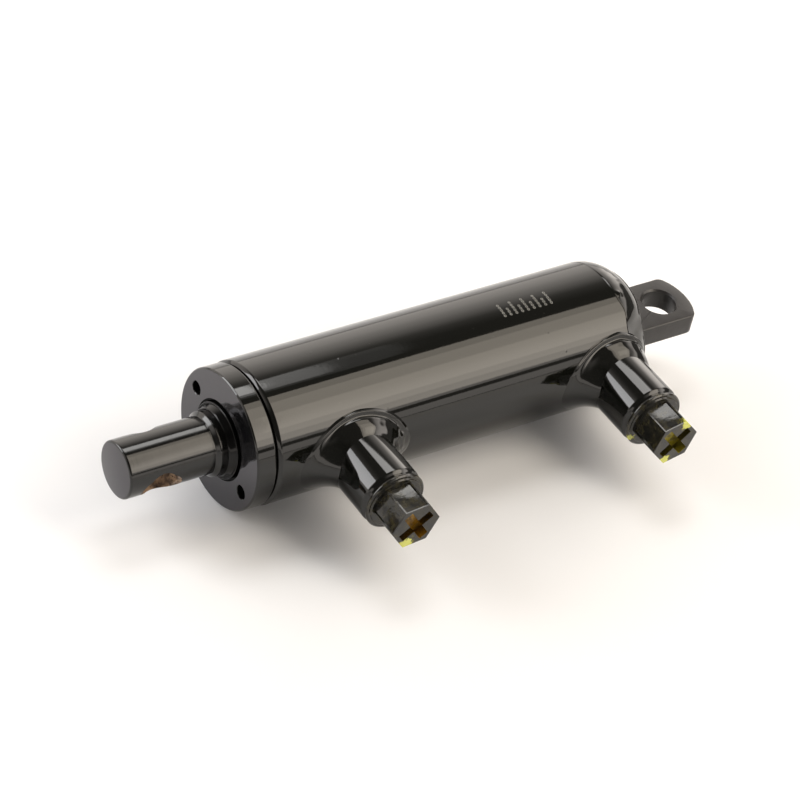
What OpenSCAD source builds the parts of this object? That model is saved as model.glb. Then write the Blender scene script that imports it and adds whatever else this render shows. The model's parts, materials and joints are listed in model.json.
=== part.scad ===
// Welded-body hydraulic cylinder, fully retracted, with its shipping plugs in the ports.
// Origin: centre of the base lug's pin hole. +X runs along the cylinder to the rod end,
// +Y is the side the ports face, +Z runs along the base lug's pin hole.

/* [Barrel] */
// Outside diameter of the barrel tube
tube_od = 63.5; // [62:0.5:70]
// Bore of the barrel tube
bore_d = 50.8; // [50:0.2:52]
// Travel of the piston rod
stroke = 101.6; // [60:0.1:400]
// Depth of the weld preparation on the barrel's rear end
weld_prep = 6; // [4:0.5:7]

/* [Base end] */
// Distance from the base pin hole to the rear face of the end cap
lug_reach = 26; // [24:0.5:40]
// Thickness of the end cap's outer flange
cap_t = 8; // [6:0.5:12]
// Length of the end cap's spigot inside the barrel
cap_spigot = 6; // [4:0.5:8]
// Thickness of the base lug
lug_t = 10.5; // [8:0.5:14]
// Width of the base lug
lug_w = 28.4; // [26:0.2:36]
// Diameter of both pin holes
pin_hole_d = 16; // [12:0.1:18]

/* [Rod] */
// Diameter of the piston rod
rod_d = 28.6; // [26:0.1:28.8]
// Diameter of the rod's turned end
nose_d = 25.4; // [22:0.1:25.8]
// Length of the rod's turned end
nose_len = 41; // [36:0.5:70]
// Distance from the rod's tip to its pin hole
tip_to_pin = 16; // [13:0.5:20]
// Angle between the rod's pin hole and the base pin hole, as the rod lies
rod_roll = 65; // [-180:1:180]

/* [Gland] */
// Thickness of the gland's flange
gland_flange_t = 10.2; // [9:0.1:16]
// Diameter of the gland's flange
gland_flange_d = 62.6; // [60:0.1:63]
// Pitch circle of the two spanner holes in the gland's face
spanner_pcd = 48.6; // [46:0.1:50]
// Diameter of a spanner hole
spanner_d = 6.2; // [4:0.1:7]
// Turn of the spanner holes from the ports' side
spanner_turn = 152; // [0:1:180]

/* [Ports] */
// Distance of the rear port from the barrel's rear end
rear_port_in = 12.5; // [12:0.1:20]
// Distance of the front port from the barrel's front end
front_port_in = 39.9; // [39:0.1:60]
// Diameter of a port boss
boss_d = 29; // [26:0.5:30]
// Distance from the barrel's axis to the end of a port boss
boss_top = 59; // [52:0.5:80]
// Diameter of a port's thread
port_thread_d = 18.8; // [16:0.1:19]
// Diameter of the oil way through the barrel's wall
oil_way_d = 12; // [8:0.5:12]

/* [Port plugs] */
// Size across the flats of a plug's hexagon
plug_af = 20; // [17:0.1:21]
// Height of a plug's hexagon
plug_hex_h = 15.3; // [8:0.1:20]
// Width of the cross slots in a plug's head
plug_slot_w = 4.4; // [2:0.1:5]

/* [Hidden] */
$fn = 96;

tube_r = tube_od / 2;
bore_r = bore_d / 2;
rod_r = rod_d / 2;
nose_r = nose_d / 2;
pin_r = pin_hole_d / 2;
boss_r = boss_d / 2;

fit = 0.05;             // radial clearance of a running fit
pocket = 0.4;           // radial clearance where a ring, not the metal, does the guiding
groove_side = 0.2;      // clearance at each side of a ring in its groove
edge = 0.8;             // small edge chamfer
pin_chamfer = 1.6;      // chamfer of the rod's pin hole

// Stations along X, from the base pin hole to the rod's tip
cap_rear_x = lug_reach;
tube_rear_x = cap_rear_x + cap_t;
cap_front_x = tube_rear_x + cap_spigot;
nut_len = 12.5;
nut_gap = 1.5;
piston_len = 25;
piston_stop_len = 10;
nut_x = cap_front_x + nut_gap;
piston_x = nut_x + nut_len;
piston_front_x = piston_x + piston_len;
rod_shoulder_x = piston_front_x + piston_stop_len;
stop_gap = 0.4;
gland_x = rod_shoulder_x + stroke + stop_gap;
gland_pilot_len = 15;
gland_thread_len = 16.5;
thread_x = gland_x + gland_pilot_len;
tube_front_x = thread_x + gland_thread_len;
gland_face_x = tube_front_x + gland_flange_t;
nose_gap = 8.3;
nose_x = gland_face_x + nose_gap;
tip_x = nose_x + nose_len;
rod_pin_x = tip_x - tip_to_pin;
rear_port_x = tube_rear_x + rear_port_in;
front_port_x = tube_front_x - front_port_in;

// Gland
thread_r = 27;
gland_pilot_r = bore_r - fit;
gland_bore_r = rod_r + pocket;
o_ring_groove_x = gland_x + 8;
o_ring_groove_len = 5;
o_ring_groove_r = 22.9;
backup_len = 1.4;
wiper_r = 17.8;
wiper_depth = 5.5;
rod_seal_x = gland_x + 22;
rod_seal_len = 7;
rod_seal_r = 18.6;
guide_x = gland_x + 3.5;
guide_len = 13;
guide_r = 16.5;
spanner_depth = 7;

// Piston
piston_r = bore_r - 0.3;
piston_stop_r = 19;
spigot_r = 9.5;
ring_r = bore_r - fit;
wear_len = 5;
wear_groove_r = 22.9;
rear_wear_x = piston_x + 2;
front_wear_x = piston_front_x - 2 - wear_len;
seal_x = piston_x + 9;
seal_len = 7;
seal_groove_r = 20.4;
seal_split_r = 22.7;
nut_af = 28;

// Ports
port_thread_y = 42;
plug_thread_r = port_thread_d / 2 - 0.08;
plug_thread_y = 45;
plug_flange_r = 14.2;
plug_flange_t = 2.6;
plug_slot_depth = 5;
plug_rim = 1.7;         // wall left round the cross slots
plug_gap = 0.1;
front_plug_turn = -54;
rear_plug_turn = -48;
weld_long = 26.5;       // reach of a port weld along the barrel
weld_end = 18;          // its reach where the barrel's rear end cuts it short
weld_round = 20.5;      // reach of a port weld around the barrel
weld_high = 39.5;       // height of the weld on the boss, along the barrel
weld_low = 36;          // height of the weld on the boss, around the barrel
weld_toe = 0.5;         // thickness of the weld at its toe
weld_bite = 0.25;       // how far a weld melts into the boss and the barrel
weld_steps = 40;

// A solid of revolution about the X axis from [x, radius] points
module turned(points) {
    rotate([90, 0, 90]) rotate_extrude() polygon([for (p = points) [p[1], p[0]]]);
}

// A ring about the X axis with a rectangular section
module ring(x, len, inner_r, outer_r) {
    turned([[x, inner_r], [x, outer_r], [x + len, outer_r], [x + len, inner_r]]);
}

// An O-ring about the X axis
module o_ring(x, inner_r, outer_r) {
    section_r = (outer_r - inner_r) / 2;
    rotate([90, 0, 90]) rotate_extrude()
        translate([inner_r + section_r, x]) circle(section_r, $fn = 32);
}

// A cylinder along +Y above the point [x, 0, 0]
module post(x, y, len, r, sides = $fn, turn = 0) {
    translate([x, y, 0]) rotate([-90, 0, 0]) rotate([0, 0, turn]) cylinder(h = len, r = r, $fn = sides);
}

// A cylinder along X on the barrel's axis
module bar(x, len, r) {
    translate([x, 0, 0]) rotate([0, 90, 0]) cylinder(h = len, r = r);
}

module barrel_tube() {
    color([0.05, 0.05, 0.055]) difference() {
        turned([
            [tube_rear_x, bore_r], [tube_rear_x, tube_r - weld_prep + 1],
            [tube_rear_x + weld_prep, tube_r], [tube_front_x - edge * 2, tube_r],
            [tube_front_x, tube_r - edge * 1.5], [tube_front_x, thread_r + fit],
            [thread_x, thread_r + fit], [thread_x, bore_r]]);
        post(rear_port_x, bore_r - 4, tube_r, oil_way_d / 2);
        post(front_port_x, bore_r - 4, tube_r, oil_way_d / 2);
    }
}

module end_cap() {
    color([0.06, 0.06, 0.065]) turned([
        [cap_rear_x, 0], [cap_rear_x, bore_r], [cap_rear_x + edge, bore_r + edge],
        [tube_rear_x, bore_r + edge], [tube_rear_x, bore_r],
        [cap_front_x - edge, bore_r], [cap_front_x, bore_r - edge], [cap_front_x, 0]]);
}

// The end weld's surface: a convex arc from the end cap's rim up to the barrel's surface
function end_weld_crown(steps = 10, bulge = 1.4) =
    let (
        toe = [tube_rear_x + weld_prep, tube_r],
        rim = [cap_rear_x + edge, bore_r + edge],
        along = toe - rim,
        out = [-along[1], along[0]] / norm(along))
    [for (i = [0:steps]) rim + along * i / steps + out * bulge * sin(180 * i / steps)];

module end_cap_weld() {
    color([0.04, 0.04, 0.045]) turned(concat(
        [[tube_rear_x, bore_r + edge]], end_weld_crown(),
        [[tube_rear_x, tube_r - weld_prep + 1]]));
}

outer_profile = concat(end_weld_crown(), [[tube_front_x, tube_r]]);

// Everything inside the barrel's outer surface, to cut the port bosses to it
module barrel_envelope() {
    turned(concat([[cap_rear_x, 0], [cap_rear_x, bore_r]], outer_profile, [[tube_front_x, 0]]));
}

// Flat bar with a shallow curved end and small corner radii
module lug_outline() {
    end_reach = 14.8;
    end_r = 25.6;
    corner_r = 2.2;
    offset(corner_r) offset(-corner_r) intersection() {
        translate([end_r - end_reach, 0]) circle(end_r, $fn = 180);
        translate([-end_reach - 1, -lug_w / 2]) square([end_reach + lug_reach + 8, lug_w]);
    }
}

module rear_lug() {
    color([0.09, 0.09, 0.09]) difference() {
        translate([0, 0, -lug_t / 2]) linear_extrude(lug_t) intersection() {
            lug_outline();
            translate([-50, -50]) square([50 + lug_reach, 100]);
        }
        cylinder(h = lug_t + 2, r = pin_r, center = true);
        for (side = [0, 1]) mirror([0, 0, side]) translate([0, 0, lug_t / 2 - edge])
            cylinder(h = 2 * edge, r1 = pin_r, r2 = pin_r + 2 * edge);
    }
}

// Fillet weld all round the foot of the lug
module lug_weld() {
    leg = 4.5;
    color([0.05, 0.05, 0.055]) difference() {
        hull() {
            translate([cap_rear_x - 0.2, 0, 0])
                cube([0.4, lug_w + 2 * leg, lug_t + 2 * leg], center = true);
            translate([cap_rear_x - leg, 0, 0])
                cube([0.4, lug_w + 1, lug_t + 1], center = true);
        }
        translate([cap_rear_x - 2 * leg, -lug_w / 2, -lug_t / 2])
            cube([4 * leg, lug_w, lug_t]);
    }
}

module port_boss(x) {
    relief = 1.2;
    color([0.05, 0.05, 0.055]) difference() {
        union() {
            post(x, 0, boss_top - relief, boss_r);
            translate([x, boss_top - relief, 0]) rotate([-90, 0, 0])
                cylinder(h = relief, r1 = boss_r, r2 = boss_r - relief);
        }
        barrel_envelope();
        post(x, 0, port_thread_y, oil_way_d / 2);
        post(x, port_thread_y, boss_top, port_thread_d / 2);
    }
}

module front_port_boss() port_boss(front_port_x);
module rear_port_boss() port_boss(rear_port_x);

// Height of the barrel's outer surface over the point [x, z]
function surface_y(x, z) = sqrt(pow(lookup(x, outer_profile), 2) - pow(z, 2));

// One section of a port weld at angle a: down the fillet from the boss to the toe, then back
// under the skin of the barrel, which the weld bites into
function weld_section(x, a, back_reach) =
    let (
        reach = [(cos(a) > 0 ? weld_long : back_reach) * cos(a), weld_round * sin(a)],
        toe_r = norm(reach),
        way = reach / toe_r,
        skin = function(r) surface_y(x + way[0] * r, way[1] * r),
        top = [boss_r - weld_bite, weld_low + (weld_high - weld_low) * pow(cos(a), 2)],
        toe = [toe_r, skin(toe_r) + weld_toe],
        knee = [boss_r + 2.5, (top[1] + toe[1] * 2) / 3 + 1],
        fillet = [for (t = [0:0.2:1])
            top * pow(1 - t, 2) + knee * 2 * t * (1 - t) + toe * pow(t, 2)],
        under = [for (t = [0:0.25:1])
            let (r = toe[0] + (top[0] - toe[0]) * t) [r, skin(r) - weld_bite]])
    [for (p = concat(fillet, under)) [x + way[0] * p[0], p[1], way[1] * p[0]]];

module port_weld(x, back_reach) {
    sections = [for (i = [0:weld_steps - 1]) weld_section(x, 360 * i / weld_steps, back_reach)];
    size = len(sections[0]);
    points = [for (s = sections, p = s) p];
    sides = [for (i = [0:weld_steps - 1], j = [0:size - 1])
        let (a = i * size, b = ((i + 1) % weld_steps) * size, k = (j + 1) % size)
        each [[a + j, a + k, b + k], [a + j, b + k, b + j]]];
    color([0.04, 0.04, 0.045]) polyhedron(points, sides);
}

module front_port_weld() port_weld(front_port_x, weld_long);
module rear_port_weld() port_weld(rear_port_x, weld_end);

module gland() {
    color([0.07, 0.07, 0.075]) difference() {
        turned([
            [gland_x, gland_bore_r], [gland_x, gland_pilot_r - edge], [gland_x + edge, gland_pilot_r],
            [o_ring_groove_x, gland_pilot_r], [o_ring_groove_x, o_ring_groove_r],
            [o_ring_groove_x + o_ring_groove_len, o_ring_groove_r],
            [o_ring_groove_x + o_ring_groove_len, gland_pilot_r],
            [thread_x, gland_pilot_r], [thread_x, thread_r],
            [tube_front_x, thread_r], [tube_front_x, gland_flange_d / 2 - edge],
            [tube_front_x + edge, gland_flange_d / 2],
            [gland_face_x - edge / 2, gland_flange_d / 2],
            [gland_face_x, gland_flange_d / 2 - edge / 2],
            [gland_face_x, wiper_r], [gland_face_x - wiper_depth, wiper_r],
            [gland_face_x - wiper_depth, gland_bore_r],
            [rod_seal_x + rod_seal_len, gland_bore_r], [rod_seal_x + rod_seal_len, rod_seal_r],
            [rod_seal_x, rod_seal_r], [rod_seal_x, gland_bore_r],
            [guide_x + guide_len, gland_bore_r], [guide_x + guide_len, guide_r],
            [guide_x, guide_r], [guide_x, gland_bore_r]]);
        for (half = [0, 180]) rotate([spanner_turn + half, 0, 0])
            translate([gland_face_x - spanner_depth, spanner_pcd / 2, 0]) rotate([0, 90, 0])
                cylinder(h = spanner_depth + 1, r = spanner_d / 2, $fn = 48);
    }
}

module gland_o_ring() {
    color([0.02, 0.02, 0.02])
        o_ring(o_ring_groove_x + 1.6, o_ring_groove_r + 0.02, bore_r - 0.02);
}

module gland_backup_ring() {
    color([0.85, 0.85, 0.8])
        ring(o_ring_groove_x + o_ring_groove_len - backup_len, backup_len - 0.05,
            o_ring_groove_r + 0.05, gland_pilot_r);
}

// The wiper stands a little out of the gland's face, with an outer rib and a sharp inner lip
module rod_wiper() {
    back_x = gland_face_x - wiper_depth;
    color([0.03, 0.03, 0.03]) turned([
        [back_x, rod_r + pocket], [back_x, wiper_r], [gland_face_x + 0.9, wiper_r],
        [gland_face_x + 1.5, wiper_r - 0.5], [gland_face_x + 1.5, wiper_r - 1],
        [gland_face_x + 0.6, wiper_r - 1.5], [gland_face_x + 0.6, wiper_r - 1.9],
        [gland_face_x + 3.9, rod_r + 0.9], [gland_face_x + 4.2, rod_r + fit],
        [gland_face_x + 3.2, rod_r + fit], [gland_face_x - 1, rod_r + pocket]]);
}

module rod_seal() {
    color([0.1, 0.25, 0.5]) turned([
        [rod_seal_x + groove_side, rod_r + fit], [rod_seal_x + groove_side, rod_r + 1.4],
        [rod_seal_x + 3, rod_r + 2], [rod_seal_x + groove_side, rod_seal_r - 1.6],
        [rod_seal_x + groove_side, rod_seal_r - fit],
        [rod_seal_x + rod_seal_len - groove_side, rod_seal_r - fit],
        [rod_seal_x + rod_seal_len - groove_side, rod_r + pocket],
        [rod_seal_x + 3, rod_r + pocket], [rod_seal_x + 2, rod_r + fit]]);
}

module rod_guide_ring() {
    color([0.45, 0.3, 0.15])
        ring(guide_x + groove_side, guide_len - 2 * groove_side, rod_r + fit, guide_r - fit);
}

module piston_rod() {
    chamfer = 0.7;
    color([0.75, 0.76, 0.78]) difference() {
        turned([
            [nut_x, 0], [nut_x, spigot_r - chamfer], [nut_x + chamfer, spigot_r],
            [rod_shoulder_x, spigot_r], [rod_shoulder_x, rod_r],
            [nose_x - chamfer, rod_r], [nose_x, nose_r + 0.2], [nose_x, nose_r],
            [tip_x - chamfer, nose_r], [tip_x, nose_r - chamfer], [tip_x, 0]]);
        translate([rod_pin_x, 0, 0]) rotate([rod_roll, 0, 0]) {
            cylinder(h = nose_d + 2, r = pin_r, center = true);
            for (side = [0, 1]) mirror([0, 0, side]) translate([0, 0, nose_r - pin_chamfer])
                cylinder(h = 2 * pin_chamfer, r1 = pin_r, r2 = pin_r + 2 * pin_chamfer);
        }
    }
}

module piston() {
    color([0.55, 0.56, 0.58]) turned([
        [piston_x, spigot_r], [piston_x, piston_r - edge], [piston_x + edge, piston_r],
        [rear_wear_x, piston_r], [rear_wear_x, wear_groove_r],
        [rear_wear_x + wear_len, wear_groove_r], [rear_wear_x + wear_len, piston_r],
        [seal_x, piston_r], [seal_x, seal_groove_r],
        [seal_x + seal_len, seal_groove_r], [seal_x + seal_len, piston_r],
        [front_wear_x, piston_r], [front_wear_x, wear_groove_r],
        [front_wear_x + wear_len, wear_groove_r], [front_wear_x + wear_len, piston_r],
        [piston_front_x - edge, piston_r], [piston_front_x, piston_r - edge],
        [piston_front_x, piston_stop_r], [rod_shoulder_x, piston_stop_r],
        [rod_shoulder_x, spigot_r], [seal_x + 3.4, spigot_r], [seal_x + 3.4, spigot_r + 2],
        [seal_x + 0.6, spigot_r + 2], [seal_x + 0.6, spigot_r]]);
}

module piston_lock_nut() {
    color([0.6, 0.6, 0.62]) difference() {
        intersection() {
            translate([nut_x, 0, 0]) rotate([0, 90, 0])
                cylinder(h = nut_len, r = nut_af / 2 / cos(30), $fn = 6);
            turned([
                [nut_x, 0], [nut_x, nut_af / 2 - 0.5], [nut_x + 1.5, nut_af / 2 / cos(30)],
                [piston_x, nut_af / 2 / cos(30)], [piston_x, 0]]);
        }
        bar(nut_x - 1, nut_len + 2, spigot_r);
    }
}

module piston_o_ring() {
    color([0.02, 0.02, 0.02]) o_ring(seal_x + 2, spigot_r + 0.03, spigot_r + 1.97);
}

module piston_seal() {
    color([0.35, 0.22, 0.12])
        ring(seal_x + groove_side, seal_len - 2 * groove_side, seal_split_r, ring_r);
}

module piston_seal_energiser() {
    color([0.03, 0.03, 0.03])
        ring(seal_x + 2 * groove_side, seal_len - 4 * groove_side, seal_groove_r + 0.1, seal_split_r);
}

module wear_ring(x) {
    color([0.5, 0.35, 0.2])
        ring(x + groove_side, wear_len - 2 * groove_side, wear_groove_r + 0.1, ring_r);
}

module rear_wear_ring() wear_ring(rear_wear_x);
module front_wear_ring() wear_ring(front_wear_x);

// Cutter for one of a plug's cross slots
module slot(len_x, len_y) {
    translate([-len_x / 2, -len_y / 2, 0]) cube([len_x, len_y, plug_slot_depth + 1]);
}

// One-piece plastic plug: threaded shank, round flange and slotted hexagon
module port_plug(x, turn) {
    flange_y = boss_top + plug_gap;
    hex_y = flange_y + plug_flange_t;
    hex_r = plug_af / 2 / cos(30);
    color([0.85, 0.75, 0.1]) difference() {
        union() {
            post(x, plug_thread_y, flange_y - plug_thread_y + 0.5, plug_thread_r);
            post(x, flange_y, plug_flange_t, plug_flange_r);
            post(x, hex_y - 0.5, plug_hex_h + 0.5, hex_r, 6, turn);
        }
        post(x, plug_thread_y - 1, 11, plug_thread_r - 2.2);
        translate([x, hex_y + plug_hex_h - plug_slot_depth, 0]) rotate([-90, 0, 0])
            rotate([0, 0, turn]) {
                slot(2 * (hex_r - plug_rim) - plug_slot_w / 2, plug_slot_w);
                slot(plug_slot_w, plug_af - 2 * plug_rim);
            }
    }
}

module front_port_plug() port_plug(front_port_x, front_plug_turn);
module rear_port_plug() port_plug(rear_port_x, rear_plug_turn);

barrel_tube();
end_cap();
end_cap_weld();
rear_lug();
lug_weld();
front_port_boss();
rear_port_boss();
front_port_weld();
rear_port_weld();
gland();
gland_o_ring();
gland_backup_ring();
rod_wiper();
rod_seal();
rod_guide_ring();
piston_rod();
piston();
piston_lock_nut();
piston_o_ring();
piston_seal();
piston_seal_energiser();
rear_wear_ring();
front_wear_ring();
front_port_plug();
rear_port_plug();
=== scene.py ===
import json
import math

import bmesh
import bpy
from mathutils import Matrix, Quaternion, Vector, noise


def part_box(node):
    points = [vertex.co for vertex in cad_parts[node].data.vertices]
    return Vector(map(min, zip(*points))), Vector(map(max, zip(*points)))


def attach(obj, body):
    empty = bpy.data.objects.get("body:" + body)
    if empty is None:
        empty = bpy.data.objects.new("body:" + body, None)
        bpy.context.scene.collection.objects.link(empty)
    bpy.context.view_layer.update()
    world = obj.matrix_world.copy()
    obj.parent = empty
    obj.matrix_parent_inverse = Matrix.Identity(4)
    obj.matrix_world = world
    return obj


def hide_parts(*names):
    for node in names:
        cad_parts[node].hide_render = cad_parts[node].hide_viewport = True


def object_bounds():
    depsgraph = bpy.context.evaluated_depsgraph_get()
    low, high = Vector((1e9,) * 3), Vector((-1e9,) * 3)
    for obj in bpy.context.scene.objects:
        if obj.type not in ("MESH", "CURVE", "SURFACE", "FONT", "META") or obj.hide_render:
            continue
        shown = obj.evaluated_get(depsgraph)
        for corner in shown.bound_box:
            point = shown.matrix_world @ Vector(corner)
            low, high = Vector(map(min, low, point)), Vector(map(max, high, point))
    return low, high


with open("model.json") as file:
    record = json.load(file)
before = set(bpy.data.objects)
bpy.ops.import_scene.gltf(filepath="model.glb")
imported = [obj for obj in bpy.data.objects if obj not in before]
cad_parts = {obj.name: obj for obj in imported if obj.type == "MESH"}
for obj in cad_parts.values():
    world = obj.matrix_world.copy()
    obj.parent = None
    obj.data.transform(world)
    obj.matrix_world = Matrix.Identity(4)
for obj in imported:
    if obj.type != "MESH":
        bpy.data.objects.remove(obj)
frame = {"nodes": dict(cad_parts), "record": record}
cad_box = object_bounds()

MM = 0.001
TURN = 2 * math.pi


def span(node):
    """A CAD node's lowest and highest corners, in millimetres."""
    low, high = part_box(node)
    return low / MM, high / MM


def mount(name):
    """Centre in millimetres, axis, and dimensions of a mount of the record."""
    found = next(m for m in frame["record"]["mounts"] if m["name"] == name)
    return Vector(found["pos_m"]) / MM, Vector(found["axis"]), found["dims"]


# ---------------------------------------------------------------------------------------------
# Sizes that more than one piece needs, in millimetres, most of them read from the CAD nodes
# ---------------------------------------------------------------------------------------------

tube_low, tube_high = span("barrel_tube")
cap_low, cap_high = span("end_cap")
gland_low, gland_high = span("gland")
wiper_low, wiper_high = span("rod_wiper")
rod_low, rod_high = span("piston_rod")
lug_low, lug_high = span("rear_lug")

tube_rear, tube_front = tube_low.x, tube_high.x
# A hair under the CAD model's, so that the punched marks stay inside its box
tube_r = tube_high.z - 0.06
bore_r = 25.4
thread_r = 27.0
thread_depth = 16
cap_rear = cap_low.x
cap_r = cap_high.z
weld_toe = tube_rear + 6
gland_face = gland_high.x
gland_r = gland_high.z
wiper_r = wiper_high.z
rod_r = rod_high.z
nose_r = 12.7
flange_low, flange_high = 59.1, 61.7
hex_r, hex_flat = 11.547, 10
nose_start = gland_face + 8.3
paint_start = wiper_high.x - 0.6
tip = rod_high.x
pin_centre, pin_axis, pin_dims = mount("rod_pin")
base_dims = mount("base_pin")[2]
spanner_dims = mount("gland_spanner_holes")[2]


# ---------------------------------------------------------------------------------------------
# Mesh building
# ---------------------------------------------------------------------------------------------

def rounded(corners, steps=4):
    """A closed outline of (x, y) or (x, y, radius) corners, each radius drawn as an arc."""
    points = []
    for i, corner in enumerate(corners):
        here = Vector(corner[:2])
        radius = corner[2] if len(corner) > 2 else 0
        before = Vector(corners[i - 1][:2]) - here
        after = Vector(corners[(i + 1) % len(corners)][:2]) - here
        if not radius:
            points.append(here)
            continue
        half = before.angle(after) / 2
        reach = min(radius / math.tan(half), before.length * 0.48, after.length * 0.48)
        start, end = here + before.normalized() * reach, here + after.normalized() * reach
        inward = (before.normalized() + after.normalized()).normalized()
        centre = here + inward * (reach / math.cos(half))
        spoke = start - centre
        swing = spoke.angle_signed(end - centre)
        for k in range(steps + 1):
            points.append(centre + Matrix.Rotation(-swing * k / steps, 2) @ spoke)
    return [(p.x, p.y) for p in points]


def about_x(along, radius, angle):
    """The point at a station, a radius and an angle from +Y about the cylinder's axis."""
    return along, radius * math.cos(angle), radius * math.sin(angle)


def about_y(centre_x):
    """Turns about the line through [centre_x, 0, 0] along +Y."""
    return lambda along, radius, angle: (
        centre_x + radius * math.cos(angle), along, radius * math.sin(angle))


def closed_grid(rows, columns):
    """Faces of rows of points that close on themselves both ways."""
    return [(i * columns + j, i * columns + (j + 1) % columns,
             (i + 1) % rows * columns + (j + 1) % columns, (i + 1) % rows * columns + j)
            for i in range(rows) for j in range(columns)]


def turned(outline, place=about_x, segments=160, shape=None):
    """Points and faces of a closed (along, radius) outline turned about an axis. shape may move
    each (along, radius, angle) first."""
    points = []
    for k in range(segments):
        angle = TURN * k / segments
        for along, radius in outline:
            if shape:
                along, radius = shape(along, radius, angle)
            points.append(place(along, radius, angle))
    return points, closed_grid(segments, len(outline))


def lines(start, end, step):
    """Evenly spaced numbers from start to end, with neither of them."""
    count = max(2, round(abs(end - start) / step))
    return [start + (end - start) * i / count for i in range(1, count)]


def placed(name, data):
    """A new object in the scene that shows a mesh, a light or a camera."""
    made = bpy.data.objects.new(name, data)
    bpy.context.scene.collection.objects.link(made)
    return made


def solid(name, shape, material):
    """An object of closed (points in mm, faces), with doubled points merged."""
    points, faces = shape
    mesh = bpy.data.meshes.new(name)
    work = bmesh.new()
    corners = [work.verts.new(Vector(p) * MM) for p in points]
    for face in faces:
        work.faces.new([corners[i] for i in face])
    bmesh.ops.remove_doubles(work, verts=work.verts, dist=1e-8)
    bmesh.ops.dissolve_degenerate(work, edges=work.edges, dist=1e-8)
    bmesh.ops.recalc_face_normals(work, faces=work.faces)
    work.to_mesh(mesh)
    work.free()
    mesh.materials.append(material)
    return placed(name, mesh)


def smooth(mesh, sharp):
    """Smooth shading, but for edges of more than sharp degrees."""
    mesh.shade_smooth()
    mesh.set_sharp_from_angle(angle=math.radians(sharp))


def piece(name, shape, body, material, nodes=(), sharp=32):
    """A closed mesh piece that rides on a body and may stand for CAD nodes."""
    made = solid(name, shape, material)
    smooth(made.data, sharp)
    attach(made, body)
    if nodes:
        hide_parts(*nodes)
    return made


def weigh_normals(made):
    """Keeps wide flat faces flat where they meet a small rounding."""
    weighted = made.modifiers.new("weighted", "WEIGHTED_NORMAL")
    weighted.keep_sharp = True
    weighted.weight = 80


def cut(made, tools, sharp=32):
    """Cuts closed tool meshes out of a piece; the cut faces keep the tools' material."""
    for tool in tools:
        step = made.modifiers.new("cut", "BOOLEAN")
        step.operation = "DIFFERENCE"
        step.solver = "EXACT"
        step.material_mode = "TRANSFER"
        step.object = tool
    bpy.context.view_layer.update()
    cut_mesh = bpy.data.meshes.new_from_object(
        made.evaluated_get(bpy.context.evaluated_depsgraph_get()))
    made.modifiers.clear()
    made.data = cut_mesh
    for tool in tools:
        bpy.data.objects.remove(tool)
    smooth(cut_mesh, sharp)


def radial_normals(made, radius, slack=0.02):
    """Gives the faces on a cylinder about X its exact normals, so that its gloss is even."""
    mesh = made.data
    normals = [tuple(corner.vector) for corner in mesh.corner_normals]
    for face in mesh.polygons:
        for i in face.loop_indices:
            point = mesh.vertices[mesh.loops[i].vertex_index].co / MM
            away = Vector((0, point.y, point.z))
            if abs(away.length - radius) < slack and face.normal.dot(away.normalized()) > 0.97:
                normals[i] = tuple(away.normalized())
    mesh.normals_split_custom_set(normals)


def refinish(made, material, chosen):
    """Gives a piece's faces another material where chosen(centre in mm, normal) is true."""
    made.data.materials.append(material)
    for face in made.data.polygons:
        if chosen(face.center / MM, face.normal):
            face.material_index = len(made.data.materials) - 1


def finish_face(made, x):
    """Gives the flat face at x the paint that covers a faced surface."""
    refinish(made, FACE_PAINT, lambda at, normal: normal.x > 0.99 and abs(at.x - x) < 0.05)


def bump_at(angle, centre_deg, width_deg):
    """1 at an angle and falling off smoothly around it."""
    away = (angle - math.radians(centre_deg) + math.pi) % TURN - math.pi
    return math.exp(-(away / math.radians(width_deg)) ** 2)


def wander(point, size, seed):
    """Smooth noise from -1 to 1 whose features are about size across."""
    return noise.noise(Vector(point) / size + Vector((seed, 3.7 * seed, 1.3)))


# ---------------------------------------------------------------------------------------------
# Materials
# ---------------------------------------------------------------------------------------------

class Tree:
    """Short ways to add nodes to a node tree."""

    def __init__(self, tree):
        self.tree = tree

    def add(self, kind, links=(), **settings):
        """A node with these settings, and with a link or a value for each named socket."""
        made = self.tree.nodes.new(kind)
        for key, value in settings.items():
            setattr(made, key, value)
        for socket, value in dict(links).items():
            if isinstance(value, bpy.types.NodeSocket):
                self.tree.links.new(value, made.inputs[socket])
            else:
                made.inputs[socket].default_value = value
        return made

    def ramp(self, value, from_low, from_high, to_low, to_high, interpolation="LINEAR"):
        """A value carried over from one range to another, and held at its ends."""
        links = {"Value": value, "From Min": from_low, "From Max": from_high,
                 "To Min": to_low, "To Max": to_high}
        made = self.add("ShaderNodeMapRange", links, interpolation_type=interpolation)
        return made.outputs["Result"]

    def math(self, operation, a, b):
        """The result of a sum, a product and the like of two values."""
        return self.add("ShaderNodeMath", {0: a, 1: b}, operation=operation).outputs[0]

    def mix(self, share, a, b):
        """Colour a where share is 0 and colour b where it is 1."""
        return self.add("ShaderNodeMix", {0: share, 6: a, 7: b}, data_type="RGBA").outputs[2]


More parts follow.
